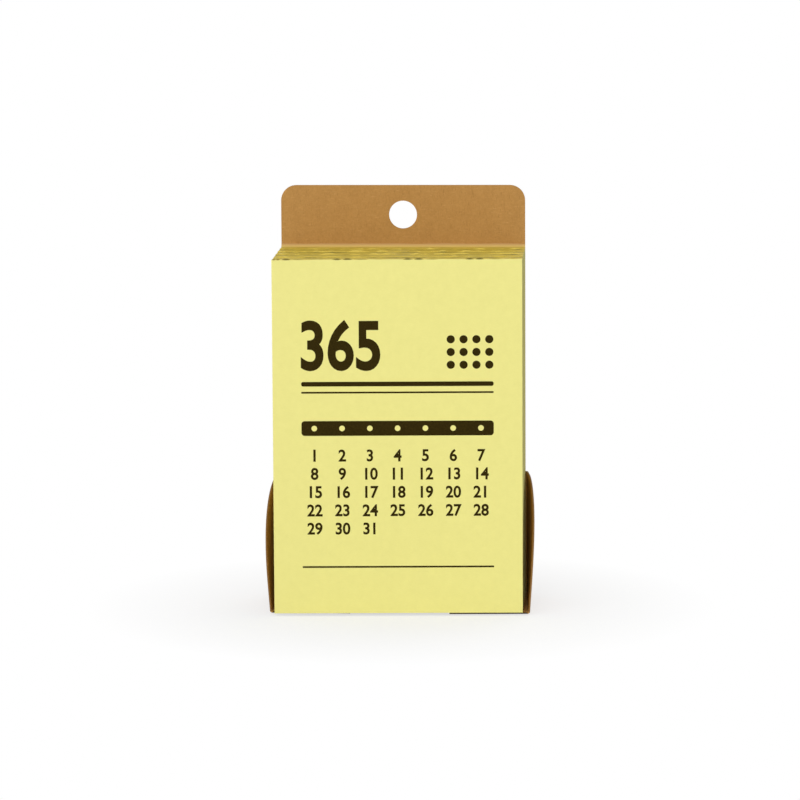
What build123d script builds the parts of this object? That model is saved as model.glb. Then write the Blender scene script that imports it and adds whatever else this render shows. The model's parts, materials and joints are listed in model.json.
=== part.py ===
from build123d import *
import os
from math import cos, radians, sin

# Block calendar: a tear-off block of leaves in a folded kraft card holder with a hang tab.
# Millimetres. +Z is up and the cover faces -Y. The origin is under the middle of the whole part.

# Leaves, which stand a little looser along the left edge of the block
leaf_width = 70.0
leaf_height = 100.0
block_depth_left = 36.5
block_taper = 3.0
cover_thickness = 0.2

# Bundles of leaves, one for each month, whose edges don't quite line up
bundle_count = 12
bundle_step = 0.15
side_step_shares = (0.0, 0.7, 0.2, 1.0, 0.4, 0.1, 0.8, 0.3, 0.9, 0.2, 0.6, 0.0)
foot_step_shares = (0.0, 0.5, 0.9, 0.2, 0.0, 0.8, 0.4, 0.0, 0.7, 0.3, 0.1, 0.0)

# Glue on the top edge of the leaves, drawn up in a bead against the card
film_thickness = 0.2
film_ridge = 0.12
bead_height = 1.2
bead_depth = 1.0

# Double-sided tape behind the block
tape_thickness = 0.15
tape_width = 50.0
tape_height = 60.0

# Kraft card and its folds
card = 0.4
fold_radius = 0.3
square_turn = 90

# Hang tab, above the leaves
tab_rise = 18.0
tab_corner_radius = 4.4
hole_diameter = 8.0
hole_drop = 8.5

# Side walls, which stop short of the cover and lean out more and more towards the top
wall_setback = 0.3
wall_top = 36.0
wall_corner_radius = 28.0
wall_corner_limit_share = 0.97
left_lean_bottom = 1.5
left_lean_top = 6.3
right_lean_bottom = 2.4
right_lean_top = 6.6

# Bottom panel, which stops short of the walls, and the glue tabs of the walls
shelf_setback = 6.0
shelf_side_gap = 0.6
glue_tab_length = 22.4
glue_tab_setback = 0.5
glue_tab_mitre = 4.0

# How far a cutting shape runs past what it cuts
overrun = 5.0

# Places worked out from the sizes above
panel_width = leaf_width
bend = fold_radius + card
shelf_top = card
block_foot = shelf_top + card
leaf_top = block_foot + leaf_height
panel_top = leaf_top + tab_rise
back_y = (card + tape_thickness + block_depth_left) / 2
board_y = back_y - card
block_depth_right = block_depth_left - block_taper
wall_depth = tape_thickness + block_depth_right - wall_setback
shelf_depth = wall_depth - shelf_setback
block_back_y = board_y - tape_thickness
wall_foot = shelf_top + bend


def depth_at(x):
    """Depth of the block, cover included, at a place across its width."""
    right_share = (x + leaf_width / 2) / leaf_width
    return block_depth_left - block_taper * right_share


def leaf_y(x, share):
    """Y of the leaf that lies a share of the way from the back leaf to the one behind the cover."""
    return block_back_y - (depth_at(x) - cover_thickness) * share


def make_page_block():
    """All leaves but the cover, in bundles that step in by a hair at the sides and the foot."""
    bundles = Part()
    for index in range(bundle_count):
        inset = bundle_step * side_step_shares[index % len(side_step_shares)]
        lift = bundle_step * foot_step_shares[index % len(foot_step_shares)]
        half = leaf_width / 2 - inset
        back_share = index / bundle_count
        front_share = (index + 1) / bundle_count
        outline = Polygon(
            (-half, leaf_y(-half, front_share)),
            (half, leaf_y(half, front_share)),
            (half, leaf_y(half, back_share)),
            (-half, leaf_y(-half, back_share)),
            align=None,
        )
        bundles += Pos(0, 0, block_foot + lift) * extrude(outline, leaf_height - lift)
    return bundles


def make_cover_sheet():
    """The front leaf, as wide and high as the block."""
    half = leaf_width / 2
    outline = Polygon(
        (-half, block_back_y - depth_at(-half)),
        (half, block_back_y - depth_at(half)),
        (half, leaf_y(half, 1)),
        (-half, leaf_y(-half, 1)),
        align=None,
    )
    return Pos(0, 0, block_foot) * extrude(outline, leaf_height)


def film_section(x):
    """Section of the glue film at one side of the block: a crown on each bundle and the bead at the back."""
    valley = leaf_top + film_thickness
    bead_top = leaf_top + bead_height
    bead_foot = block_back_y - bead_depth
    valleys = [bead_foot]
    valleys += [leaf_y(x, (index + 1) / bundle_count) for index in range(bundle_count)]
    outline = [TangentArc((bead_foot, valley), (board_y, bead_top), tangent=(1, 0))]
    for start, end in zip(valleys, valleys[1:]):
        crown = ((start + end) / 2, valley + film_ridge)
        outline.append(ThreePointArc((start, valley), crown, (end, valley)))
    front = valleys[-1]
    outline.append(Polyline((front, valley), (front, leaf_top), (board_y, leaf_top), (board_y, bead_top)))
    return Plane.YZ.offset(x) * make_face(outline)


def make_binding_glue():
    """The film from side to side, following the taper of the block."""
    return loft([film_section(-leaf_width / 2), film_section(leaf_width / 2)], ruled=True)


def make_mounting_tape():
    """The strip between the back leaf and the card."""
    middle = Plane.XZ.offset(-board_y) * Pos(0, block_foot + leaf_height / 2)
    return extrude(middle * Rectangle(tape_width, tape_height), tape_thickness)


def fold_section(turn, leg):
    """Section of card that goes on past a panel's edge: a bend through an angle, then a flat leg.

    The panel ends at the section's origin, coming along X, with its inner face on Y = 0.
    """
    along = Vector(cos(radians(turn)), -sin(radians(turn)))
    outward = Vector(sin(radians(turn)), cos(radians(turn)))
    half_outward = Vector(sin(radians(turn / 2)), cos(radians(turn / 2)))
    centre = Vector(0, -fold_radius)
    inner_end = centre + outward * fold_radius
    outer_end = centre + outward * bend
    outline = [
        ThreePointArc((0, card), centre + half_outward * bend, outer_end),
        Polyline(outer_end, outer_end + along * leg, inner_end + along * leg, inner_end),
        ThreePointArc(inner_end, centre + half_outward * fold_radius, (0, 0)),
        Line((0, 0), (0, card)),
    ]
    return make_face(outline)


def make_back_panel():
    """The flat back with the rounded hang tab and its hole."""
    height = panel_top - bend
    sheet = Pos(0, bend + height / 2) * Rectangle(panel_width, height)
    sheet -= Pos(0, panel_top - hole_drop) * Circle(hole_diameter / 2)
    panel = extrude(Plane.XZ.offset(-back_y) * sheet, card)
    tab_corners = panel.edges().filter_by(Axis.Y).group_by(Axis.Z)[-1]
    return fillet(tab_corners, tab_corner_radius)


def make_bottom_panel():
    """The flap folded forward under the block."""
    width = panel_width - 2 * shelf_side_gap
    edge = Plane(origin=(-width / 2, board_y, bend), x_dir=(0, 0, -1), z_dir=(1, 0, 0))
    return extrude(edge * fold_section(square_turn, shelf_depth - fold_radius), width)


def make_side_wall(lean_bottom, lean_top):
    """A wall on the right with its glue tab, leaning out by one angle at its foot and another at its top."""
    leg = wall_depth - fold_radius + overrun
    corner = Vector(panel_width / 2, board_y)
    levels = ((wall_foot, lean_bottom), (wall_top, lean_top))
    sections = [Pos(corner.X, corner.Y, z) * fold_section(square_turn - lean, leg) for z, lean in levels]
    wall = loft(sections, ruled=True)

    # At the back corner the fold goes on down to the bottom panel
    corner_fold = fold_section(square_turn - lean_bottom, glue_tab_setback)
    wall += extrude(Pos(corner.X, corner.Y, shelf_top) * corner_fold, wall_foot - shelf_top)

    # The glue tab turns inward along the foot of the wall
    along = Vector(sin(radians(lean_bottom)), -cos(radians(lean_bottom)))
    outward = Vector(-along.Y, along.X)
    fold_start = corner + Vector(0, -fold_radius, wall_foot) + outward * fold_radius
    tab_back = fold_start + along * glue_tab_setback
    edge = Plane(origin=tab_back, x_dir=(0, 0, -1), z_dir=along)
    tab = extrude(edge * fold_section(square_turn, glue_tab_length - fold_radius), leg - glue_tab_setback)

    # Its back corner is mitred
    tab_end = tab_back - outward * glue_tab_length
    mitre = make_face(Polyline(tab_back, tab_end, tab_end + along * glue_tab_mitre, close=True))
    tab -= extrude(mitre, wall_foot, both=True)

    # Wall and tab end square to the foot, and the wall's upper front corner is a large round
    side_width = wall_depth + overrun
    side = Pos(overrun - side_width / 2, wall_top / 2) * Rectangle(side_width, wall_top)
    top_front = side.vertices().group_by(Axis.X)[0].sort_by(Axis.Y)[-1]
    round_limit = wall_corner_limit_share * min(wall_depth, wall_top - wall_foot)
    side = fillet(top_front, min(wall_corner_radius, round_limit))
    beside = Plane(origin=corner, x_dir=-along, z_dir=outward)
    return (wall + tab) & extrude(beside * side, panel_width, both=True)


def make_kraft_holder():
    """The whole folded card. The left wall is made on the right and mirrored."""
    right_wall = make_side_wall(right_lean_bottom, right_lean_top)
    left_wall = mirror(make_side_wall(left_lean_bottom, left_lean_top), about=Plane.YZ)
    return make_back_panel() + make_bottom_panel() + right_wall + left_wall


os.makedirs("parts", exist_ok=True)
export_step(make_kraft_holder(), "parts/kraft_holder.step")
export_step(make_page_block(), "parts/page_block.step")
export_step(make_cover_sheet(), "parts/cover_sheet.step")
export_step(make_binding_glue(), "parts/binding_glue.step")
export_step(make_mounting_tape(), "parts/mounting_tape.step")
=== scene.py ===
import json
import math
import random

import bmesh
import bpy
from mathutils import Matrix, Vector, noise


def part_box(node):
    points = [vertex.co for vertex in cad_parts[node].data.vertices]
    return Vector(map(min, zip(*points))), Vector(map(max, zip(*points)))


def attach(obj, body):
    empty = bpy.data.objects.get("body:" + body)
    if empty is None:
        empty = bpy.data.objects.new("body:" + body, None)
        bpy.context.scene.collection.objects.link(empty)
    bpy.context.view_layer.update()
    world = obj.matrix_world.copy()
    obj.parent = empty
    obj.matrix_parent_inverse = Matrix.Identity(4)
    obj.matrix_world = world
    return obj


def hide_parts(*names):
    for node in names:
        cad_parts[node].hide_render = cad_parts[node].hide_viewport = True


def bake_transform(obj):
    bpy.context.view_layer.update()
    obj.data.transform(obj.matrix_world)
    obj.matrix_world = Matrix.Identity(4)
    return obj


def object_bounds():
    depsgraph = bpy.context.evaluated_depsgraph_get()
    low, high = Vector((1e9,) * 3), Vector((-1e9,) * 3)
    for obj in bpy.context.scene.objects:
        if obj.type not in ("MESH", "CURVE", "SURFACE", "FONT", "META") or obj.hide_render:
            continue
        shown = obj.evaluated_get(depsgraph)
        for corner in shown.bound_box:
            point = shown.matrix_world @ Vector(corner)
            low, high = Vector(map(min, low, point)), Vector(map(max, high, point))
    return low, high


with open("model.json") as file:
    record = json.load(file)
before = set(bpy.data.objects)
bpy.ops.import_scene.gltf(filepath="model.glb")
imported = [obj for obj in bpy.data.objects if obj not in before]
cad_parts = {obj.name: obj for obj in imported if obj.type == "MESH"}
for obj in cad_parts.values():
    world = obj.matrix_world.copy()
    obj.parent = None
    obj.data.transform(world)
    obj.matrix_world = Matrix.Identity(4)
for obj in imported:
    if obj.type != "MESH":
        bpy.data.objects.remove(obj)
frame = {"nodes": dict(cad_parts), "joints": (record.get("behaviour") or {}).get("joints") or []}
cad_low, cad_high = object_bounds()

# Units: the frame is in metres, and small sizes below are given in millimetres times MM
MM = 0.001
UP = Vector((0, 0, 1))

# Places taken from the frame
block_low, block_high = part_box("page_block")
cover_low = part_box("cover_sheet")[0]
film_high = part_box("binding_glue")[1]
hinge = frame["joints"][0]
hinge_point = Vector(hinge["pos_m"])
across = -Vector(hinge["axis"]).normalized()
outward = across.cross(UP)
leaf_slope = across.y / across.x
leaf_half = block_high.x
leaf_foot = block_low.z
leaf_top = block_high.z
leaf_height = leaf_top - leaf_foot
cover_half = leaf_half / across.x
cover_room = block_low.y - cover_low.y
board_y = film_high.y


# Shader helpers

def srgb(red, green, blue):
    """A colour given as screen values from 0 to 255, as linear light."""
    def linear(value):
        share = value / 255
        return share / 12.92 if share <= 0.04045 else ((share + 0.055) / 1.055) ** 2.4
    return (linear(red), linear(green), linear(blue), 1.0)


def add_node(tree, kind, inputs=None, **settings):
    """Adds a node, sets its options, and links or fills its inputs."""
    node = tree.nodes.new(kind)
    for name, value in settings.items():
        setattr(node, name, value)
    for name, value in (inputs or {}).items():
        if isinstance(value, bpy.types.NodeSocket):
            tree.links.new(value, node.inputs[name])
        else:
            node.inputs[name].default_value = value
    return node


def new_material(name, roughness, specular):
    """A material with its tree, its shader, and the object's place in millimetres."""
    material = bpy.data.materials.new(name)
    material.use_nodes = True
    tree = material.node_tree
    shader = tree.nodes["Principled BSDF"]
    shader.inputs["Roughness"].default_value = roughness
    shader.inputs["Specular IOR Level"].default_value = specular
    place = add_node(tree, "ShaderNodeTexCoord").outputs["Object"]
    scaled = add_node(tree, "ShaderNodeVectorMath", {0: place, "Scale": 1 / MM}, operation="SCALE")
    return material, tree, shader, scaled.outputs["Vector"]


def mesh_value(tree, name):
    """A number that the mesh holds for each of its points or faces."""
    return add_node(tree, "ShaderNodeAttribute", attribute_name=name).outputs["Fac"]


def stretch(tree, place, scale, turn=(0, 0, 0)):
    """The place, turned and scaled along each axis, so that a noise in it comes out long one way."""
    node = add_node(tree, "ShaderNodeMapping", {"Vector": place, "Scale": scale, "Rotation": turn})
    return node.outputs["Vector"]


def noise_value(tree, place, detail, rough=0.55, waves=1.0):
    """Noise from 0 to 1, with so many waves in a millimetre."""
    inputs = {"Vector": place, "Scale": waves, "Detail": detail, "Roughness": rough}
    return add_node(tree, "ShaderNodeTexNoise", inputs).outputs["Fac"]


def band(tree, value, low, high, to_low=0.0, to_high=1.0):
    """A value between two levels, spread over another range and held there."""
    inputs = {"Value": value, "From Min": low, "From Max": high, "To Min": to_low, "To Max": to_high}
    return add_node(tree, "ShaderNodeMapRange", inputs).outputs["Result"]


def mix_colour(tree, factor, first, second):
    """Two colours mixed."""
    node = add_node(tree, "ShaderNodeMix", data_type="RGBA")
    for socket, value in ((node.inputs[0], factor), (node.inputs[6], first), (node.inputs[7], second)):
        if isinstance(value, bpy.types.NodeSocket):
            tree.links.new(value, socket)
        else:
            socket.default_value = value
    return node.outputs[2]


def multiply(tree, first, second):
    """Two values multiplied."""
    return add_node(tree, "ShaderNodeMath", {0: first, 1: second}, operation="MULTIPLY").outputs["Value"]


def larger(tree, first, second):
    """The larger of two values."""
    return add_node(tree, "ShaderNodeMath", {0: first, 1: second}, operation="MAXIMUM").outputs["Value"]


def sum_values(tree, first, second, share=1.0):
    """The first value plus a share of the second."""
    inputs = {0: second, 1: share, 2: first}
    return add_node(tree, "ShaderNodeMath", inputs, operation="MULTIPLY_ADD").outputs["Value"]


def set_surface(tree, shader, colour, height, depth, strength):
    """The shader's colour, and its bump from a height of 0 to 1 that stands for a depth in metres."""
    tree.links.new(colour, shader.inputs["Base Color"])
    bump = add_node(tree, "ShaderNodeBump", {"Height": height, "Distance": depth, "Strength": strength})
    tree.links.new(bump.outputs["Normal"], shader.inputs["Normal"])


# Materials

# Kraft's browns: the darker, the lighter, that of pale fibres and that of dark ones
FACE_BROWNS = (srgb(176, 130, 70), srgb(194, 146, 82), srgb(206, 160, 98), srgb(150, 106, 54))
# The walls' insides: the same kraft, brighter and more saturated, as painted bounce light between card
# and leaves
BOUNCE_LIT_BROWNS = (srgb(206, 148, 60), srgb(222, 164, 72), srgb(232, 182, 92), srgb(182, 126, 48))
EDGE_BROWNS = (srgb(130, 94, 52), srgb(152, 114, 68), srgb(172, 134, 88), srgb(108, 74, 40))


def kraft_colour(tree, place, browns):
    """Kraft's cloudy brown with pale and dark fibres, and the height of its felted surface."""
    dark, light, pale_fibre, dark_fibre = browns
    cloud = noise_value(tree, place, waves=0.3, detail=3.0, rough=0.5)
    grain = noise_value(tree, place, waves=1.9, detail=4.0, rough=0.7)
    tone = sum_values(tree, grain, cloud, share=0.35)
    colour = mix_colour(tree, band(tree, tone, 0.4, 0.95), dark, light)
    lying = noise_value(tree, stretch(tree, place, (0.55, 5.0, 5.0), turn=(0, 0.35, 0.2)), detail=2.0)
    standing = noise_value(tree, stretch(tree, place, (5.5, 5.5, 0.6), turn=(0.3, -0.4, 0)), detail=2.0)
    colour = mix_colour(tree, band(tree, lying, 0.6, 0.75, to_high=0.6), colour, pale_fibre)
    colour = mix_colour(tree, band(tree, standing, 0.6, 0.75, to_high=0.6), colour, dark_fibre)
    cells = add_node(tree, "ShaderNodeTexVoronoi", {"Vector": place, "Scale": 0.45, "Randomness": 1.0})
    speck = band(tree, cells.outputs["Distance"], 0.03, 0.07, to_low=0.5, to_high=0.0)
    colour = mix_colour(tree, speck, colour, dark_fibre)
    fluff = noise_value(tree, place, waves=2.6, detail=4.0, rough=0.7)
    felt = sum_values(tree, sum_values(tree, fluff, lying, share=0.6), standing, share=0.4)
    return colour, felt


def make_kraft(name, browns):
    """A face of the kraft card."""
    material, tree, shader, place = new_material(name, roughness=0.86, specular=0.2)
    colour, felt = kraft_colour(tree, place, browns)
    set_surface(tree, shader, colour, felt, depth=0.05 * MM, strength=0.5)
    return material


def make_kraft_edge():
    """The cut edges of the kraft card, layered, with painted shade darkening them within a millimetre of
    the floor, as on the tabs under the block.
    """
    material, tree, shader, place = new_material("kraft_cut_edge", roughness=0.92, specular=0.15)
    colour, felt = kraft_colour(tree, place, EDGE_BROWNS)
    height = add_node(tree, "ShaderNodeSeparateXYZ", {0: place}).outputs["Z"]
    # Painted shade: the cut edges turn almost black within a millimetre of the floor
    shade_near_floor = band(tree, height, 0.8, 1.0, to_low=0.95, to_high=0.0)
    colour = mix_colour(tree, shade_near_floor, colour, srgb(46, 37, 11))
    set_surface(tree, shader, colour, felt, depth=0.08 * MM, strength=0.7)
    return material


def make_kraft_fold():
    """The outer side of a fold, where stretched fibres show paler and crack a little; near the floor, on
    the bends and on faces turned up, it is also painted light.
    """
    material, tree, shader, place = new_material("kraft_fold", roughness=0.9, specular=0.15)
    colour, felt = kraft_colour(tree, place, FACE_BROWNS)
    crack = noise_value(tree, place, waves=2.2, detail=5.0, rough=0.75)
    colour = mix_colour(tree, band(tree, crack, 0.48, 0.66, to_high=0.8), colour, srgb(216, 176, 116))
    set_surface(tree, shader, colour, sum_values(tree, felt, crack), depth=0.06 * MM, strength=0.7)
    return material


def paper_colour(tree, place, colour, spread):
    """Uncoated paper: a faint cloud and fine fibres about one colour, and the height of its surface."""
    red, green, blue, alpha = colour
    dark = (red * (1 - spread), green * (1 - spread), blue * (1 - 1.8 * spread), alpha)
    light = (min(1.0, red * (1 + spread)), min(1.0, green * (1 + spread)), blue * (1 + spread), alpha)
    cloud = noise_value(tree, place, waves=0.45, detail=5.0, rough=0.65)
    fibre_place = stretch(tree, place, (1.2, 3.5, 5.0), turn=(0.2, 0.5, 0))
    fibre = noise_value(tree, fibre_place, detail=3.0, rough=0.6)
    tone = sum_values(tree, cloud, fibre, share=0.7)
    mixed = mix_colour(tree, band(tree, tone, 0.55, 1.15), dark, light)
    fluff = noise_value(tree, place, waves=3.5, detail=3.0, rough=0.6)
    return mixed, sum_values(tree, fluff, fibre, share=0.8)


def make_cover_paper():
    """The yellow cover leaf."""
    material, tree, shader, place = new_material("cover_paper", roughness=0.78, specular=0.25)
    colour, felt = paper_colour(tree, place, srgb(237, 230, 142), spread=0.025)
    set_surface(tree, shader, colour, felt, depth=0.02 * MM, strength=0.35)
    return material


def make_leaf_paper(leaf_count):
    """The stack of leaves: plain paper on its faces; on its sides painted shade, darker overall, in fine
    lines between the leaf edges and in the grooves between groups, with a random tone for each group.
    """
    material, tree, shader, place = new_material("leaf_paper", roughness=0.82, specular=0.2)
    colour, felt = paper_colour(tree, place, srgb(234, 226, 140), spread=0.03)
    side = mesh_value(tree, "on_side")
    turns = multiply(tree, mesh_value(tree, "depth_share"), 2 * math.pi * leaf_count)
    wave = add_node(tree, "ShaderNodeMath", {0: turns}, operation="SINE").outputs["Value"]
    # Painted shade: a dark line at each leaf edge, and the sides mixed some way towards a darker olive
    line = band(tree, wave, -1.0, -0.2, to_low=0.65, to_high=0.35)
    shade = sum_values(tree, mesh_value(tree, "leaf_tone_and_shade"), line, share=0.8)
    colour = mix_colour(tree, multiply(tree, shade, side), colour, srgb(160, 154, 100))
    lined = sum_values(tree, felt, multiply(tree, wave, side), share=0.6)
    set_surface(tree, shader, colour, lined, depth=0.02 * MM, strength=0.5)
    return material


def make_glue():
    """Padding glue soaked into leaf edges: painted shade where it lies low and painted light where it
    stands high, a dark mark of soaked glue and painted shade in gaps and valleys, pale in the bead at
    the card.
    """
    material, tree, shader, place = new_material("padding_glue", roughness=0.55, specular=0.35)
    height = mesh_value(tree, "film_height")
    streak = noise_value(tree, stretch(tree, place, (0.12, 4.2, 1.0)), detail=4.0, rough=0.7)
    # Painted light and shade by height: darker where the film lies low, lighter where it stands high,
    # broken by random streaks
    level = sum_values(tree, height, band(tree, streak, 0.32, 0.68), share=0.3)
    colour = mix_colour(tree, band(tree, level, 0.2, 0.45), srgb(191, 167, 54), srgb(223, 197, 78))
    colour = mix_colour(tree, band(tree, level, 0.45, 0.7), colour, srgb(242, 219, 104))
    bead_top = band(tree, height, 0.7, 1.15)
    bead_colour = mix_colour(tree, bead_top, srgb(211, 175, 103), srgb(188, 142, 82))
    colour = mix_colour(tree, mesh_value(tree, "bead"), colour, bead_colour)
    # Dark olive mark in the gaps along the front edge and in the valleys before raised bundles: soaked
    # glue and painted shade
    colour = mix_colour(tree, mesh_value(tree, "soaked"), colour, srgb(100, 88, 14))
    set_surface(tree, shader, colour, streak, depth=0.05 * MM, strength=0.5)
    return material


def make_ink():
    """Dark brown ink that has soaked unevenly into the paper."""
    material, tree, shader, place = new_material("brown_ink", roughness=0.75, specular=0.05)
    soak = noise_value(tree, place, waves=3.0, detail=4.0, rough=0.7)
    colour = mix_colour(tree, band(tree, soak, 0.35, 0.75), srgb(42, 32, 4), srgb(60, 48, 10))
    set_surface(tree, shader, colour, soak, depth=0.01 * MM, strength=0.4)
    return material


def make_tape():
    """The tape behind the block."""
    material, tree, shader, place = new_material("tape_film", roughness=0.6, specular=0.3)
    weave = noise_value(tree, stretch(tree, place, (0.4, 1.0, 2.4)), detail=3.0)
    colour = mix_colour(tree, band(tree, weave, 0.35, 0.7), srgb(222, 218, 206), srgb(240, 237, 228))
    set_surface(tree, shader, colour, weave, depth=0.02 * MM, strength=0.4)
    return material


# Mesh helpers

def new_piece(name, points, faces, material, smooth_angle=None):
    """A mesh object from points and faces, shaded smooth up to an angle."""
    mesh = bpy.data.meshes.new(name)
    mesh.from_pydata(points, [], faces)
    mesh.materials.append(material)
    mesh.update()
    piece = bpy.data.objects.new(name, mesh)
    bpy.context.scene.collection.objects.link(piece)
    if smooth_angle is not None:
        mesh.shade_smooth()
        mesh.set_sharp_from_angle(angle=math.radians(smooth_angle))
    return piece


def set_attribute(piece, name, values, domain="POINT"):
    """One number for each point or face of a piece, for its material to read."""
    attribute = piece.data.attributes.new(name, "FLOAT", domain)
    attribute.data.foreach_set("value", values)


def grid_faces(rows, wide):
    """Faces of a grid of points listed row by row."""
    starts = [row * wide + column for row in range(rows - 1) for column in range(wide - 1)]
    return [(a, a + wide, a + wide + 1, a + 1) for a in starts]


def grid_border(rows, wide):
    """The points round the border of a grid, in order."""
    border = list(range(wide - 1)) + [row * wide + wide - 1 for row in range(rows - 1)]
    border += [(rows - 1) * wide + column for column in range(wide - 1, 0, -1)]
    return border + [row * wide for row in range(rows - 1, 0, -1)]


def shell_faces(rows, wide):
    """Faces of a closed shell between two grids of points, the first grid listed before the second."""
    count = rows * wide
    near = grid_faces(rows, wide)
    far = [tuple(count + point for point in reversed(face)) for face in near]
    border = grid_border(rows, wide)
    rim = [(a, b, count + b, count + a) for a, b in zip(border, border[1:] + border[:1])]
    return near + far + rim


def ring_faces(rings, ring):
    """Faces of a closed stack of rings of points, listed ring by ring."""
    faces = [tuple(range(ring - 1, -1, -1)), tuple(range((rings - 1) * ring, rings * ring))]
    for level in range(rings - 1):
        low, high = level * ring, (level + 1) * ring
        for i in range(ring):
            j = (i + 1) % ring
            faces.append((low + i, low + j, high + j, high + i))
    return faces


def clamp(value):
    """A value held between 0 and 1."""
    return min(1.0, max(0.0, value))


def waver(x, length, row, seed):
    """Noise from -1 to 1 along a row, with waves of about a length in metres."""
    return noise.noise((x / length, row, seed))


def leaf_y(x, depth_share):
    """Y of a leaf at a place across the block, its depth given as a share from the card to the cover."""
    front = block_low.y + (x - block_low.x) * leaf_slope
    return block_high.y + (front - block_high.y) * depth_share


def cover_point(along, height, lift):
    """A point over the cover's front face: along it from the middle, above its foot, and out from it."""
    return hinge_point + across * along + UP * (leaf_foot + height - hinge_point.z) + outward * lift


# The stack of leaves

LEAF_COUNT = 370
GROUP_COUNT = 84
GROUP_SPREAD = (0.5, 1.5)
GROUP_LIP_SHARE = 0.12
SIDE_STEP = 0.12 * MM
TONE_SPREAD = (0.0, 0.35)
GROOVE_DEPTH = 0.07 * MM
GROOVE_SPREAD = (0.4, 1.0)
# How much darker the groove between two groups is made: painted shade
GROOVE_SHADE = 0.3
LEFT_LOOSENESS = 2
RIPPLE = 0.035 * MM
RIPPLE_WAVES_ACROSS = 4
RIPPLE_WAVES_UP = 5
RIPPLE_SEED_STEP = 0.7
RIM_ACROSS = 18
RIM_UP = 24


def rim_shares():
    """Places round a leaf's rim, as shares of its width and height, from the lower left corner."""
    rim = [(i / RIM_ACROSS, 0.0) for i in range(RIM_ACROSS)]
    rim += [(1.0, i / RIM_UP) for i in range(RIM_UP)]
    rim += [(1 - i / RIM_ACROSS, 1.0) for i in range(RIM_ACROSS)]
    rim += [(0.0, 1 - i / RIM_UP) for i in range(RIM_UP)]
    return rim


def leaf_rim(depth_share, insets, groove, seed):
    """Points round the rim of one leaf, set in at the left, right and foot."""
    left, right, foot = insets
    points = []
    for across_share, up_share in rim_shares():
        waves = (RIPPLE_WAVES_ACROSS * across_share, RIPPLE_WAVES_UP * up_share, seed)
        ripple = abs(RIPPLE * noise.noise(waves))
        x = (2 * across_share - 1) * leaf_half
        z = leaf_foot + up_share * leaf_height
        if across_share == 0.0:
            x += left + LEFT_LOOSENESS * groove + ripple
        elif across_share == 1.0:
            x -= right + groove + ripple
        if up_share == 0.0:
            z += foot + groove + ripple
        points.append(Vector((x, leaf_y(x, depth_share), z)))
    return points


def leaf_groups():
    """Groups of leaves that keep together, each as its start and end in shares of the block's depth."""
    draw = random.Random(7)
    weights = [draw.uniform(*GROUP_SPREAD) for _ in range(GROUP_COUNT)]
    ends = [sum(weights[:index + 1]) / sum(weights) for index in range(GROUP_COUNT)]
    return list(zip([0.0] + ends, ends))


def stack_levels():
    """Levels of the stack, group by group: group, insets, depth share, groove and tone, the tone random
    for each group with painted shade added at its groove.
    """
    draw = random.Random(8)
    levels = []
    for group, (start, end) in enumerate(leaf_groups()):
        insets = [SIDE_STEP * draw.random() for _ in range(3)]
        tone = draw.uniform(*TONE_SPREAD)
        groove = GROOVE_DEPTH * draw.uniform(*GROOVE_SPREAD)
        lip = GROUP_LIP_SHARE * (end - start)
        steps = [(start + lip, 0.0, tone), (end - lip, 0.0, tone), (end, groove, tone + GROOVE_SHADE)]
        if group == 0:
            steps[0] = (0.0, 0.0, tone)
        if group == GROUP_COUNT - 1:
            steps = [steps[0], (1.0, 0.0, 0.0)]
        if group in (0, GROUP_COUNT - 1):
            insets = [0.0, 0.0, 0.0]
        levels += [(group, insets, *step) for step in steps]
    return levels


def build_leaf_stack(material):
    """Groups of leaves with uneven edges and a fine groove between each two."""
    ring = len(rim_shares())
    points, depths, tones_and_shades = [], [], []
    for group, insets, depth_share, groove, tone in stack_levels():
        points += leaf_rim(depth_share, insets, groove, RIPPLE_SEED_STEP * group)
        depths += [depth_share] * ring
        tones_and_shades += [tone] * ring
    faces = ring_faces(len(points) // ring, ring)
    stack = new_piece("leaf_stack", points, faces, material)
    set_attribute(stack, "depth_share", depths)
    set_attribute(stack, "leaf_tone_and_shade", tones_and_shades)
    set_attribute(stack, "on_side", [0.0, 0.0] + [1.0] * (len(faces) - 2), "FACE")
    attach(stack, "holder")
    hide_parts("page_block")


# The glue along the top

FILM_ACROSS = 160
FILM_LEVEL = 0.14 * MM
FILM_LEAST = 0.04 * MM
FILM_WAVE = 0.05 * MM
FILM_STEP = 0.035 * MM
FILM_GROOVE = 0.08 * MM
FILM_GROOVE_SPREAD = (0.3, 1.0)
FILM_LIP_SHARE = 0.15
FILM_SMOOTH_ANGLE = 60

# Bundles of leaves that stand up at their fronts, and a dark mark before them: soaked glue and painted
# shade in the valleys
BUNDLE_LIFT = 0.48 * MM
BUNDLE_FRONT_SHARES = (0.18, 0.385, 0.59, 0.795, 1.0)
BUNDLE_FRONT_POWER = 4
LIFT_MIDDLE = 0.45
LIFT_SHORT_WAVER = 0.5
SOAK_AND_SHADE_SHARE = 0.35
SOAK_AND_SHADE_MOST = 0.8
SOAK_AND_SHADE_MIDDLE = 0.35
SOAK_AND_SHADE_LONG_WAVER = 1.4
SOAK_AND_SHADE_SHORT_WAVER = 0.6

# The bead against the card
BEAD_REACH = 1.2 * MM
BEAD_ROWS = 8
BEAD_CROWDING = 1.3
BEAD_HOLLOW = 1.6
BEAD_LONG_WAVER = 0.12
BEAD_SHORT_WAVER = 0.08
BEAD_TINT = 1.25
BEAD_TINT_POWER = 0.55
BEAD_END_SHARE = 0.045

# The film's front edge over the cover, and the glue that has run down behind the cover, dark where the
# gaps show it with soaked glue and painted shade
LIP_SHARE = 0.03
EDGE_RISE = 0.36 * MM
EDGE_DROP = 0.8 * MM
EDGE_DROP_WAVER = 0.3
EDGE_THICK = 0.012 * MM
EDGE_FILM_HEIGHT = 0.45

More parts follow.
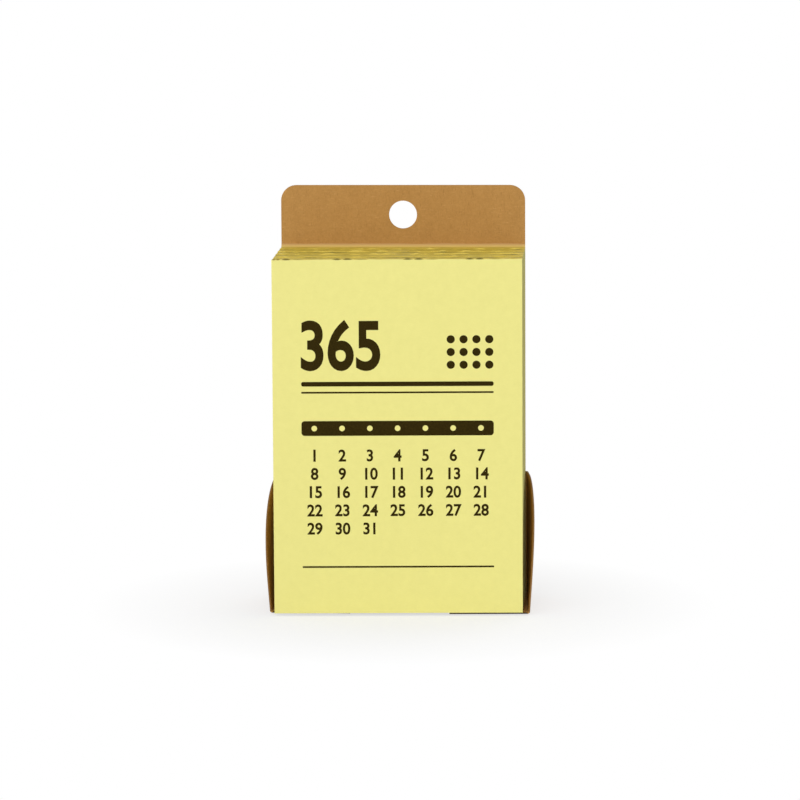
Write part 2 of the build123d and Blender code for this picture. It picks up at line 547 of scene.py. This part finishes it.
# Gaps along that edge: place as a share of its length, then half length and height in millimetres
EDGE_GAPS = (
    (0.009, 0.6, 0.4), (0.026, 0.7, 0.4), (0.058, 1.4, 0.48), (0.104, 2.0, 0.28), (0.261, 1.5, 0.45),
    (0.303, 1.5, 0.5), (0.357, 2.4, 0.28), (0.44, 1.4, 0.12), (0.544, 1.5, 0.46), (0.588, 1.5, 0.5),
    (0.638, 2.2, 0.28), (0.70, 1.2, 0.1), (0.791, 1.5, 0.46), (0.831, 1.5, 0.48), (0.888, 2.6, 0.28),
    (0.965, 1.2, 0.18),
)
GAP_ROUNDNESS = 0.6
GAP_UNDER_SHARE = 0.3
# Gap height at which the dark mark of soaked glue and painted shade is fullest, and how dark it gets
GAP_FULL_SOAK_AND_SHADE = 0.45 * MM
GAP_SOAK_AND_SHADE_MOST = 0.92


def edge_gap(across_share):
    """Height of the gap at a place along the front edge, given as a share of it."""
    gap = 0.0
    for share, half, height in EDGE_GAPS:
        offset = abs(across_share - share) * 2 * cover_half / (half * MM)
        if offset < 1:
            gap = max(gap, height * MM * math.cos(offset * math.pi / 2) ** GAP_ROUNDNESS)
    return gap


def bundle_lift(x, bundle):
    """How far a bundle of leaves stands up at its front, in broken stretches along the block."""
    long_wave = waver(x, 3.4 * MM, 5.3 * bundle, 7.0)
    short_wave = waver(x, 1.4 * MM, 3.7 * bundle, 1.0)
    return BUNDLE_LIFT * clamp(LIFT_MIDDLE + long_wave + LIFT_SHORT_WAVER * short_wave)


def bundle_soak(x, bundle):
    """How dark the soaked glue and painted shade are before the bundle behind this one, in broken
    stretches.
    """
    long_wave = waver(x, 5 * MM, 4.1 * bundle, 11.0)
    short_wave = waver(x, 1.8 * MM, 2.9 * bundle, 5.0)
    return clamp(SOAK_AND_SHADE_MIDDLE + SOAK_AND_SHADE_LONG_WAVER * long_wave + SOAK_AND_SHADE_SHORT_WAVER * short_wave)


def film_levels():
    """Rows of the film, group by group: depth share, bundle, share of the way to its front, and step."""
    draw = random.Random(9)
    levels = []
    for start, end in leaf_groups():
        middle = (start + end) / 2
        bundle = sum(front < middle for front in BUNDLE_FRONT_SHARES)
        back = BUNDLE_FRONT_SHARES[bundle - 1] if bundle else 0.0
        way = (middle - back) / (BUNDLE_FRONT_SHARES[bundle] - back)
        step = FILM_STEP * draw.uniform(-1, 1)
        groove = FILM_GROOVE * draw.uniform(*FILM_GROOVE_SPREAD)
        lip = FILM_LIP_SHARE * (end - start)
        for share, height in ((start + lip, step), (end - lip, step), (end, step - groove)):
            levels.append((share, bundle, way, height))
    return [level for level in levels if level[0] > BEAD_END_SHARE]


def bead_points(columns):
    """Points of the bead, row by row from the card, each with its shares of bead and of the dark mark of
    soaked glue and painted shade.
    """
    rows = []
    for row in range(BEAD_ROWS):
        behind = BEAD_REACH * (row / BEAD_ROWS) ** BEAD_CROWDING
        fall = 1 - behind / BEAD_REACH
        bead = clamp(BEAD_TINT * fall ** BEAD_TINT_POWER)
        for x in columns:
            wander = 1 + BEAD_LONG_WAVER * waver(x, 8 * MM, 1.0, 9.0)
            wander += BEAD_SHORT_WAVER * waver(x, 2 * MM, 4.0, 9.0)
            height = FILM_LEVEL + ((film_high.z - leaf_top) * wander - FILM_LEVEL) * fall ** BEAD_HOLLOW
            rows.append((Vector((x, board_y - behind, leaf_top + height)), bead, 0.0))
    return rows


def film_points(columns):
    """Points of the film from the bead to the block's front, given as those of the bead are."""
    rows = []
    for share, bundle, way, step in film_levels():
        lip_share = clamp(1 - (1 - share) / LIP_SHARE)
        soak_and_shade_share = clamp(1 - way / SOAK_AND_SHADE_SHARE)
        for x in columns:
            height = FILM_LEVEL + FILM_WAVE * waver(x, 9 * MM, 14 * share, 3.0) + step
            height = max(FILM_LEAST, height + bundle_lift(x, bundle) * way ** BUNDLE_FRONT_POWER)
            lip = EDGE_RISE + (1 - GAP_UNDER_SHARE) * edge_gap(0.5 + x / (2 * leaf_half))
            height += max(0.0, lip - height) * lip_share
            # Soaked glue and painted shade in the valley at the back of each bundle
            soaked = SOAK_AND_SHADE_MOST * bundle_soak(x, bundle) * soak_and_shade_share
            rows.append((Vector((x, leaf_y(x, share), leaf_top + height)), 0.0, soaked))
    return rows


def build_glue_film(material):
    """The film over the leaf edges, with a bead up the card. Returns the points along its front."""
    columns = [(2 * column / FILM_ACROSS - 1) * leaf_half for column in range(FILM_ACROSS + 1)]
    points, beads, soaks_and_shades = map(list, zip(*bead_points(columns), *film_points(columns)))
    wide = len(columns)
    rows = len(points) // wide
    border = grid_border(rows, wide)
    base = [Vector((points[index].x, points[index].y, leaf_top)) for index in border]
    ring = [len(points) + index for index in range(len(border))]
    rim = list(zip(border, border[1:] + border[:1], ring[1:] + ring[:1], ring))
    faces = grid_faces(rows, wide) + rim + [ring]
    film = new_piece("glue_film", points + base, faces, material, FILM_SMOOTH_ANGLE)
    heights = [(point.z - leaf_top) / MM for point in points]
    for name, values in (("film_height", heights), ("bead", beads), ("soaked", soaks_and_shades)):
        set_attribute(film, name, values + [values[index] for index in border])
    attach(film, "holder")
    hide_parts("binding_glue")
    return points[-wide:]


def build_glue_edge(film_front, material):
    """The glue that has run down from the film's front, dark in the gaps under the cover's edge with
    soaked glue and painted shade.
    """
    points, soaked = [], []
    for lift in (0.0, EDGE_THICK):
        for at_top in (False, True):
            for film_point in film_front:
                drop = EDGE_DROP * (1 + EDGE_DROP_WAVER * waver(film_point.x, 4 * MM, 6.0, 2.0))
                z = film_point.z if at_top else leaf_top - drop
                points.append(Vector((film_point.x, film_point.y, z)) + outward * lift)
                gap = edge_gap(0.5 + film_point.x / (2 * leaf_half))
                # Soaked glue and painted shade, darker the higher the gap
                soaked.append(GAP_SOAK_AND_SHADE_MOST * clamp(gap / GAP_FULL_SOAK_AND_SHADE))
    edge = new_piece("glue_edge", points, shell_faces(2, len(film_front)), material)
    set_attribute(edge, "soaked", soaked)
    set_attribute(edge, "film_height", [EDGE_FILM_HEIGHT] * len(points))
    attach(edge, "holder")


# The cover leaf

SHEET_ACROSS = 180
SHEET_UP = 60
SHEET_CROWDING = 1.5
SHEET_THICK = 0.6 * cover_room
SHEET_BACK = -0.9 * cover_room
SHEET_SMOOTH_ANGLE = 40
TOP_WAVER = 0.05 * MM


def edge_height(along):
    """Height of the cover's top edge over the leaves: level with the glue, and lower in the gaps."""
    rise = EDGE_RISE + TOP_WAVER * waver(along, 3 * MM, 2.0, 8.0)
    return rise - GAP_UNDER_SHARE * edge_gap(0.5 + along / (2 * cover_half))


def build_cover(material):
    """The front leaf, as a thin sheet with rows crowded towards its top edge, where a real leaf bends
    when it is lifted.
    """
    points = []
    wide = SHEET_ACROSS + 1
    for lift in (SHEET_BACK, SHEET_BACK + SHEET_THICK):
        for row in range(SHEET_UP + 1):
            share = 1 - (1 - row / SHEET_UP) ** SHEET_CROWDING
            for column in range(wide):
                along = (2 * column / SHEET_ACROSS - 1) * cover_half
                rise = edge_height(along) if row == SHEET_UP else 0.0
                points.append(cover_point(along, leaf_height * share + rise, lift))
    faces = shell_faces(SHEET_UP + 1, wide)
    cover = new_piece("cover_leaf", points, faces, material, SHEET_SMOOTH_ANGLE)
    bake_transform(cover)
    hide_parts("cover_sheet")


# Print, placed from the lower middle of a leaf

INK_THICK = 0.012 * MM
INK_GAP = 0.002 * MM
INK_WELD = 0.0005 * MM
CORNER_STEPS = 6
RING_STEPS = 28
NUMBER_STEPS = 6
BAR_HEIGHT = 4.2 * MM
BAR_ROUND = 0.9 * MM
RULE_HEIGHT = 0.5 * MM

# On the cover: rules, a count of days, a dot for each month, and a month of days under a marked bar
COVER_PRINT_HALF = 27 * MM
COVER_RULES = ((64.6 * MM, 1.3 * MM), (62.6 * MM, RULE_HEIGHT), (13.0 * MM, RULE_HEIGHT))
COVER_RULE_ROUND_SHARE = 0.45
DAYS_IN_YEAR = 365
COUNT_MIDDLE = -15.9 * MM
COUNT_LOW = 69.4 * MM
COUNT_HEIGHT = 13.4 * MM
MONTHS = 12
MONTH_COLUMNS = 4
MONTH_STEP = 3.6 * MM
MONTH_RADIUS = 1.15 * MM
MONTH_RIGHT = 25.8 * MM
MONTH_LOW = 70.6 * MM
DAY_BAR_LOW = 50.6 * MM
DAY_MARK_RADIUS = 0.8 * MM
DAYS_IN_WEEK = 7
DAYS_IN_MONTH = 31
DAY_COLUMN = 7.8 * MM
DAY_ROW = 5.2 * MM
DAY_LOW = 43.4 * MM
DAY_HEIGHT = 3.2 * MM

# On the first leaf: its day, large, between a bar and two rules
LEAF_PRINT_HALF = 29 * MM
LEAF_BAR_LOW = 84 * MM
LEAF_RULE_LOWS = (20 * MM, 13 * MM)
LEAF_RULE_ROUND = 0.2 * MM
LEAF_DAY_LOW = 35 * MM
LEAF_DAY_HEIGHT = 38 * MM


def shape_curve(name):
    """A flat filled curve that becomes a thin layer of ink, and its place."""
    curve = bpy.data.curves.new(name, "CURVE")
    curve.dimensions = "2D"
    curve.fill_mode = "BOTH"
    curve.extrude = INK_THICK / 2
    return curve, Matrix.Identity(4)


def add_outline(curve, points):
    """Adds one closed outline to a flat curve."""
    spline = curve.splines.new("POLY")
    spline.points.add(len(points) - 1)
    for point, (x, y) in zip(spline.points, points):
        point.co = (x, y, 0, 1)
    spline.use_cyclic_u = True


def add_bar(curve, half, low, height, radius):
    """Adds a bar with round corners, from one side of the middle to the other."""
    points = []
    right, foot, top = half - radius, low + radius, low + height - radius
    corners = ((right, foot, -90), (right, top, 0), (-right, top, 90), (-right, foot, 180))
    for x, y, start in corners:
        for step in range(CORNER_STEPS + 1):
            angle = math.radians(start + 90 * step / CORNER_STEPS)
            points.append((x + radius * math.cos(angle), y + radius * math.sin(angle)))
    add_outline(curve, points)


def add_dot(curve, x, y, radius):
    """Adds a round dot, which is a hole where it lies in a bar."""
    angles = [2 * math.pi * step / RING_STEPS for step in range(RING_STEPS)]
    points = [(x + radius * math.cos(angle), y + radius * math.sin(angle)) for angle in angles]
    add_outline(curve, points)


def number_curve(text, x, low, height, squeeze, bold):
    """A number centred at x, standing on a line, as tall as asked, as a text curve and its place."""
    curve = bpy.data.curves.new("number", "FONT")
    curve.body = text
    curve.align_x = "CENTER"
    curve.size = 1.0
    curve.resolution_u = NUMBER_STEPS
    probe = bpy.data.objects.new("probe", curve)
    bpy.context.scene.collection.objects.link(probe)
    bpy.context.view_layer.update()
    levels = [corner[1] for corner in probe.bound_box]
    scale = height / (max(levels) - min(levels))
    bpy.data.objects.remove(probe)
    curve.offset = bold / scale
    curve.extrude = INK_THICK / 2 / scale
    place = Matrix.Translation((x, low - min(levels) * scale, 0))
    return curve, place @ Matrix.Diagonal((scale * squeeze, scale, scale, 1))


def print_layer(name, shapes, base, material):
    """Joins flat curves into one thin layer of ink over a leaf whose lower middle is at base."""
    joined = bmesh.new()
    turn = Matrix((across, UP, outward)).transposed().to_4x4()
    onto = Matrix.Translation(base + outward * (INK_GAP + INK_THICK / 2)) @ turn
    for curve, place in shapes:
        carrier = bpy.data.objects.new("shape", curve)
        bpy.context.scene.collection.objects.link(carrier)
        bpy.context.view_layer.update()
        ready = carrier.evaluated_get(bpy.context.evaluated_depsgraph_get())
        shape = bpy.data.meshes.new_from_object(ready)
        shape.transform(onto @ place)
        joined.from_mesh(shape)
        bpy.data.objects.remove(carrier)
        bpy.data.meshes.remove(shape)
        bpy.data.curves.remove(curve)
    bmesh.ops.remove_doubles(joined, verts=joined.verts, dist=INK_WELD)
    mesh = bpy.data.meshes.new(name)
    joined.to_mesh(mesh)
    joined.free()
    mesh.materials.append(material)
    layer = bpy.data.objects.new(name, mesh)
    bpy.context.scene.collection.objects.link(layer)
    return layer


def cover_shapes():
    """The cover's generic design."""
    bars, place = shape_curve("bars")
    for low, height in COVER_RULES:
        add_bar(bars, COVER_PRINT_HALF, low, height, COVER_RULE_ROUND_SHARE * height)
    for month in range(MONTHS):
        x = MONTH_RIGHT - MONTH_STEP * (month % MONTH_COLUMNS)
        add_dot(bars, x, MONTH_LOW + MONTH_STEP * (month // MONTH_COLUMNS), MONTH_RADIUS)
    add_bar(bars, COVER_PRINT_HALF, DAY_BAR_LOW, BAR_HEIGHT, BAR_ROUND)
    day_places = [(day - DAYS_IN_WEEK // 2) * DAY_COLUMN for day in range(DAYS_IN_WEEK)]
    for x in day_places:
        add_dot(bars, x, DAY_BAR_LOW + BAR_HEIGHT / 2, DAY_MARK_RADIUS)
    days = str(DAYS_IN_YEAR)
    count = number_curve(days, COUNT_MIDDLE, COUNT_LOW, COUNT_HEIGHT, squeeze=0.82, bold=0.45 * MM)
    shapes = [(bars, place), count]
    for day in range(DAYS_IN_MONTH):
        x = day_places[day % DAYS_IN_WEEK]
        low = DAY_LOW - (day // DAYS_IN_WEEK) * DAY_ROW
        shapes.append(number_curve(str(day + 1), x, low, DAY_HEIGHT, squeeze=0.95, bold=0.12 * MM))
    return shapes


def leaf_shapes():
    """The design of the first day's leaf."""
    bars, place = shape_curve("bars")
    add_bar(bars, LEAF_PRINT_HALF, LEAF_BAR_LOW, BAR_HEIGHT, BAR_ROUND)
    for low in LEAF_RULE_LOWS:
        add_bar(bars, LEAF_PRINT_HALF, low, RULE_HEIGHT, LEAF_RULE_ROUND)
    day = number_curve("01", 0, LEAF_DAY_LOW, LEAF_DAY_HEIGHT, squeeze=0.86, bold=1.1 * MM)
    return [(bars, place), day]


def build_print(material):
    """The ink on the cover and on the leaf beneath it."""
    on_cover = cover_point(0, 0, SHEET_BACK + SHEET_THICK)
    cover_ink = print_layer("cover_print", cover_shapes(), on_cover, material)
    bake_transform(cover_ink)
    on_leaf = cover_point(0, 0, -cover_room * across.x)
    leaf_ink = print_layer("first_leaf_print", leaf_shapes(), on_leaf, material)
    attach(leaf_ink, "holder")


# The kraft holder and the tape, which are the CAD solids themselves

SIDE, CUT_EDGE, FOLD, INSIDE_BOUNCE = range(4)
FOLD_TOP = 1.5 * MM
PANEL_FOOT = 2 * MM
NEARLY = 0.01 * MM


def dress_node(name, *materials):
    """Puts materials on a CAD node in place of its own, and returns its mesh."""
    mesh = frame["nodes"][name].data
    mesh.materials.clear()
    for material in materials:
        mesh.materials.append(material)
    return mesh


def card_side(centre, normal):
    """Which of the kraft materials a face of the holder has, from where it lies and where it faces."""
    behind_board = centre.y > board_y - NEARLY
    beside_panel = abs(centre.x) > leaf_half + NEARLY
    if behind_board and beside_panel:
        return FOLD
    if behind_board:
        return CUT_EDGE if abs(normal.y) < 0.5 and centre.z > PANEL_FOOT else SIDE
    # Near the floor, the bends and the faces turned up take the paler fold kraft: painted light where
    # light falls into the gaps beside the block
    if centre.z < FOLD_TOP and abs(normal.z) > 0.15:
        return SIDE if normal.z < -0.98 or abs(normal.y) > 0.9 else FOLD
    if centre.z < leaf_foot:
        return SIDE if beside_panel else CUT_EDGE
    if abs(normal.x) < 0.6:
        return CUT_EDGE
    # The insides of the walls take the brighter brown of painted bounce light
    return INSIDE_BOUNCE if normal.x * centre.x < 0 else SIDE


def dress_holder():
    """Kraft on the folded card, with cut edges, folds and the insides of the walls told apart; the
    insides get a brighter, warmer brown as painted bounce light.
    """
    sides = make_kraft("kraft_card", FACE_BROWNS)
    insides = make_kraft("kraft_inside_painted_bounce", BOUNCE_LIT_BROWNS)
    mesh = dress_node("kraft_holder", sides, make_kraft_edge(), make_kraft_fold(), insides)
    for face in mesh.polygons:
        face.material_index = card_side(face.center, face.normal)


# Studio, in metres and watts

WHITE = (1, 1, 1, 1)
CAMERA_AZIMUTH = 3.05
CAMERA_ELEVATION = 7.85
CAMERA_ROLL = -0.31
CAMERA_DISTANCE = 1.3144
CAMERA_TARGET = Vector((-0.19, 0.0, 59.16)) * MM
CAMERA_LENS = 208.1
CAMERA_SENSOR = 36
CAMERA_NEAR = 0.05
CAMERA_FAR = 50
WORLD_LIGHT = 0.48
FLOOR_HALF = 8.0
FLOOR_COLOUR = (0.92, 0.92, 0.92, 1)

# Where the floor begins and ends to turn white around the part, in millimetres, and how white it begins
FLOOR_SHADE_NEAR = 30.0
FLOOR_SHADE_FAR = 90.0
FLOOR_WHITE_NEAR = 0.64

# Lamps: place, size and power
LAMPS = {
    "front_left": ((-0.1, -1.7, 0.42), 0.2, 4.5),
    "front_right": ((0.12, -1.7, 0.42), 0.2, 4.5),
    "above": ((-0.5, -0.9, 1.5), 1.2, 6.2),
    "behind": ((0.7, 1.5, 1.0), 1.2, 8),
}


def build_camera():
    """The photograph's view: a long lens from a little above and to the right."""
    azimuth, elevation = math.radians(CAMERA_AZIMUTH), math.radians(CAMERA_ELEVATION)
    back = Vector((math.sin(azimuth) * math.cos(elevation), -math.cos(azimuth) * math.cos(elevation),
                   math.sin(elevation)))
    data = bpy.data.cameras.new("camera")
    data.lens = CAMERA_LENS
    data.sensor_width = CAMERA_SENSOR
    data.clip_start, data.clip_end = CAMERA_NEAR, CAMERA_FAR
    camera = bpy.data.objects.new("camera", data)
    bpy.context.scene.collection.objects.link(camera)
    turn = (-back).to_track_quat("-Z", "Y").to_matrix().to_4x4()
    roll = Matrix.Rotation(math.radians(CAMERA_ROLL), 4, "Z")
    camera.matrix_world = Matrix.Translation(CAMERA_TARGET + back * CAMERA_DISTANCE) @ turn @ roll
    bpy.context.scene.camera = camera


def add_lamp(name, place, size, power):
    """A soft square lamp that faces the middle of the part."""
    data = bpy.data.lights.new(name, "AREA")
    data.size = size
    data.energy = power
    lamp = bpy.data.objects.new(name, data)
    bpy.context.scene.collection.objects.link(lamp)
    target = (cad_low + cad_high) / 2
    lamp.location = place
    lamp.rotation_euler = (target - Vector(place)).to_track_quat("-Z", "Y").to_euler()


def seen_directly(tree):
    """1 for what the camera sees, also in gloss and glass, and 0 for light that falls on the part."""
    path = add_node(tree, "ShaderNodeLightPath").outputs
    seen = larger(tree, path["Is Camera Ray"], path["Is Glossy Ray"])
    return larger(tree, seen, path["Is Transmission Ray"])


def build_floor():
    """A wide pale floor that keeps the part's shadow and is white further away."""
    half = FLOOR_HALF
    corners = [(-half, -half, 0), (half, -half, 0), (half, half, 0), (-half, half, 0)]
    material, tree, shader, place = new_material("pale_floor", roughness=0.9, specular=0.1)
    shader.inputs["Base Color"].default_value = FLOOR_COLOUR
    glow = add_node(tree, "ShaderNodeEmission", {"Color": WHITE, "Strength": 1.0})
    distance = add_node(tree, "ShaderNodeVectorMath", {0: place}, operation="LENGTH").outputs["Value"]
    away = band(tree, distance, FLOOR_SHADE_NEAR, FLOOR_SHADE_FAR, to_low=FLOOR_WHITE_NEAR)
    white = multiply(tree, away, seen_directly(tree))
    mixed = add_node(tree, "ShaderNodeMixShader", {0: white, 1: shader.outputs[0], 2: glow.outputs[0]})
    tree.links.new(mixed.outputs[0], tree.nodes["Material Output"].inputs["Surface"])
    floor = new_piece("floor", corners, [(0, 1, 2, 3)], material)


def build_world():
    """Even pale light from all round, and white where the camera sees it."""
    world = bpy.data.worlds.new("studio")
    bpy.context.scene.world = world
    world.use_nodes = True
    tree = world.node_tree
    background = tree.nodes["Background"]
    background.inputs["Color"].default_value = WHITE
    strength = band(tree, seen_directly(tree), 0.0, 1.0, to_low=WORLD_LIGHT)
    tree.links.new(strength, background.inputs["Strength"])


def build_studio():
    """Camera, floor and soft light."""
    build_camera()
    build_floor()
    build_world()
    for name, lamp in LAMPS.items():
        add_lamp(name, *lamp)
    bpy.context.scene.view_settings.view_transform = "Standard"


build_leaf_stack(make_leaf_paper(LEAF_COUNT))
glue = make_glue()
build_glue_edge(build_glue_film(glue), glue)
build_cover(make_cover_paper())
build_print(make_ink())
dress_holder()
dress_node("mounting_tape", make_tape())
build_studio()
